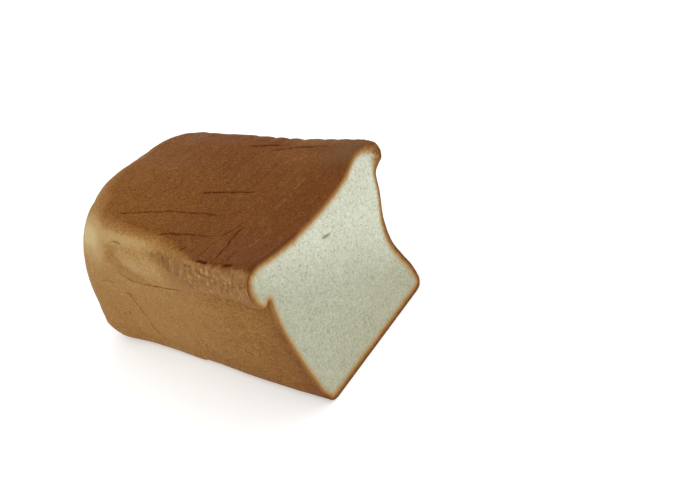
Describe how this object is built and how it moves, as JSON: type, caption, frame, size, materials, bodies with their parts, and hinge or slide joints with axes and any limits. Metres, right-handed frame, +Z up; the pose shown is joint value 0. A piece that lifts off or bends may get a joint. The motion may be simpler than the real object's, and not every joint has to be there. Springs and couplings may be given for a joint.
{
  "type": "portuguese bread",
  "caption": "Pan loaf of white bread with one end sliced off, rounded at the far end, with a browned crown that rises over both long sides.",
  "frame": {"origin": "centre of the bounding box at the height of the flat base", "axes": "+X along the loaf towards the sliced face, +Y towards the rear long side, +Z up from the base"},
  "size_m": [0.1934, 0.1376, 0.1041],
  "materials": {
    "crust": null
  },
  "bodies": {
    "root": {"loaf": "crust"}
  },
  "joints": []
}
